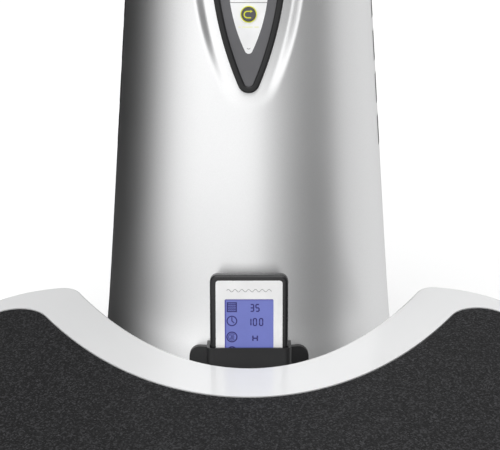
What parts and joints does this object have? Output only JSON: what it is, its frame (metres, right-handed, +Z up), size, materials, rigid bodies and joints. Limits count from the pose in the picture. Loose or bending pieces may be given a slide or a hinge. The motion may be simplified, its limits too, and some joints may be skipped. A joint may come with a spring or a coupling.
{
  "type": "vibration plate",
  "caption": "Vibration plate: a shaken standing deck on a floor base, a leaning column with a control console, side hand loops and a hand-held remote in a dock.",
  "frame": {"origin": "centre of the footprint on the floor", "axes": "+Z up, +X to the right of the user standing on the deck, +Y away from the user towards the column"},
  "size_m": [0.7388, 0.956, 1.2],
  "materials": {
    "white_gloss": "glossy",
    "silver_shell": "satin metallic lacquer",
    "charcoal": "matt",
    "black_mat": "granular",
    "black_rubber": "matt",
    "foam_grip": "closed-cell foam",
    "black_plastic": "satin",
    "gray_panel": "matt",
    "label_white": "printed film",
    "face_white": "satin",
    "button_gray": "matt",
    "lcd_blue": "backlit display",
    "window": "clear",
    "board": "circuit board",
    "frame_steel": "powder coat",
    "tube_steel": "silver powder coat",
    "bolt_steel": "zinc plated",
    "motor_aluminium": "cast",
    "rotor_steel": "turned",
    "weight_iron": "cast",
    "inverter_gray": "anodised"
  },
  "bodies": {
    "base": {"base_frame": "frame_steel", "base_cover": "charcoal", "bottom_pan": "frame_steel", "rubber_feet": "black_rubber", "foot_bolts": "bolt_steel", "isolators": "black_rubber", "service_panel": "black_plastic", "power_inlet": "black_plastic", "fuse_holder": "black_plastic", "wheel_axles": "bolt_steel", "inverter_box": "inverter_gray", "mast": "frame_steel", "mast_bolts": "bolt_steel", "handlebar_brackets": "frame_steel", "handlebar_collars": "black_plastic", "handlebar_left": "tube_steel", "handlebar_right": "tube_steel", "grip_left": "foam_grip", "grip_right": "foam_grip", "column_front_shell": "silver_shell", "column_rear_shell": "silver_shell", "column_top_cap": "white_gloss", "column_screws": "bolt_steel", "console_bezel": "black_plastic", "console_panel": "gray_panel", "console_label": "label_white", "console_window": "window", "console_lcd": "lcd_blue", "console_board": "board", "dock": "black_plastic"},
    "platform": {"platform_shell": "white_gloss", "platform_mat": "black_mat", "platform_frame": "frame_steel", "platform_bolts": "bolt_steel", "motor_front": "motor_aluminium", "motor_rear": "motor_aluminium", "motor_end_covers": "motor_aluminium", "motor_bearings": "rotor_steel"},
    "rotor_front": {"rotor_front": "rotor_steel", "eccentric_weights_front": "weight_iron"},
    "rotor_rear": {"rotor_rear": "rotor_steel", "eccentric_weights_rear": "weight_iron"},
    "remote": {"remote_case": "charcoal", "remote_back_cover": "charcoal", "remote_face": "face_white", "remote_lcd": "lcd_blue"},
    "power_rocker": {"power_rocker": "button_gray"},
    "wheel_left": {"transport_wheel_left": "black_rubber"},
    "wheel_right": {"transport_wheel_right": "black_rubber"},
    "console_button_repeat": {"console_button_repeat": "button_gray"},
    "console_button_start": {"console_button_start": "button_gray"},
    "console_button_stop": {"console_button_stop": "button_gray"},
    "console_button_time_down": {"console_button_time_down": "button_gray"},
    "console_button_time_up": {"console_button_time_up": "button_gray"},
    "console_button_frequency_down": {"console_button_frequency_down": "button_gray"},
    "console_button_frequency_up": {"console_button_frequency_up": "button_gray"},
    "remote_button_left_upper": {"remote_button_left_upper": "button_gray"},
    "remote_button_right_upper": {"remote_button_right_upper": "button_gray"},
    "remote_button_left_lower": {"remote_button_left_lower": "button_gray"},
    "remote_button_right_lower": {"remote_button_right_lower": "button_gray"}
  },
  "joints": [
    {"name": "platform_bounce", "type": "slide", "parent": "base", "child": "platform", "axis": [0, 0, 1], "range_m": [-0.002, 0.002], "stiffness_N_per_m": 800000, "springref_m": 0.00064, "deforming": ["isolators"]},
    {"name": "rotor_front_spin", "type": "hinge", "parent": "platform", "child": "rotor_front", "pos_m": [0, -0.285, 0.098], "axis": [1, 0, 0], "continuous": true},
    {"name": "rotor_rear_spin", "type": "hinge", "parent": "platform", "child": "rotor_rear", "pos_m": [0, -0.14, 0.098], "axis": [1, 0, 0], "continuous": true},
    {"name": "remote_lift", "type": "slide", "parent": "base", "child": "remote", "axis": [0, 0.2588, 0.9659], "range_m": [0, 0.16]},
    {"name": "console_button_repeat_press", "type": "slide", "parent": "base", "child": "console_button_repeat", "axis": [0, 0.9511, -0.309], "range_m": [0, 0.001], "stiffness_N_per_m": 1500, "springref_m": -0.0004},
    {"name": "console_button_start_press", "type": "slide", "parent": "base", "child": "console_button_start", "axis": [0, 0.9511, -0.309], "range_m": [0, 0.001], "stiffness_N_per_m": 1500, "springref_m": -0.0004},
    {"name": "console_button_stop_press", "type": "slide", "parent": "base", "child": "console_button_stop", "axis": [0, 0.9511, -0.309], "range_m": [0, 0.001], "stiffness_N_per_m": 1500, "springref_m": -0.0004},
    {"name": "console_button_time_down_press", "type": "slide", "parent": "base", "child": "console_button_time_down", "axis": [0, 0.9511, -0.309], "range_m": [0, 0.001], "stiffness_N_per_m": 1500, "springref_m": -0.0004},
    {"name": "console_button_time_up_press", "type": "slide", "parent": "base", "child": "console_button_time_up", "axis": [0, 0.9511, -0.309], "range_m": [0, 0.001], "stiffness_N_per_m": 1500, "springref_m": -0.0004},
    {"name": "console_button_frequency_down_press", "type": "slide", "parent": "base", "child": "console_button_frequency_down", "axis": [0, 0.9511, -0.309], "range_m": [0, 0.001], "stiffness_N_per_m": 1500, "springref_m": -0.0004},
    {"name": "console_button_frequency_up_press", "type": "slide", "parent": "base", "child": "console_button_frequency_up", "axis": [0, 0.9511, -0.309], "range_m": [0, 0.001], "stiffness_N_per_m": 1500, "springref_m": -0.0004},
    {"name": "remote_button_left_upper_press", "type": "slide", "parent": "remote", "child": "remote_button_left_upper", "axis": [0, 0.9659, -0.2588], "range_m": [0, 0.0008], "stiffness_N_per_m": 1200, "springref_m": -0.0004},
    {"name": "remote_button_right_upper_press", "type": "slide", "parent": "remote", "child": "remote_button_right_upper", "axis": [0, 0.9659, -0.2588], "range_m": [0, 0.0008], "stiffness_N_per_m": 1200, "springref_m": -0.0004},
    {"name": "remote_button_left_lower_press", "type": "slide", "parent": "remote", "child": "remote_button_left_lower", "axis": [0, 0.9659, -0.2588], "range_m": [0, 0.0008], "stiffness_N_per_m": 1200, "springref_m": -0.0004},
    {"name": "remote_button_right_lower_press", "type": "slide", "parent": "remote", "child": "remote_button_right_lower", "axis": [0, 0.9659, -0.2588], "range_m": [0, 0.0008], "stiffness_N_per_m": 1200, "springref_m": -0.0004},
    {"name": "power_rocker_tilt", "type": "hinge", "parent": "base", "child": "power_rocker", "pos_m": [0.03, 0.46, 0.062], "axis": [1, 0, 0], "range_deg": [-16, 0]},
    {"name": "wheel_left_roll", "type": "hinge", "parent": "base", "child": "wheel_left", "pos_m": [-0.161, 0.372, 0.04], "axis": [1, 0, 0], "continuous": true},
    {"name": "wheel_right_roll", "type": "hinge", "parent": "base", "child": "wheel_right", "pos_m": [0.161, 0.372, 0.04], "axis": [1, 0, 0], "continuous": true}
  ],
  "couplings": [
    {"joint": "rotor_rear_spin", "follows": "rotor_front_spin", "ratio": -1}
  ]
}
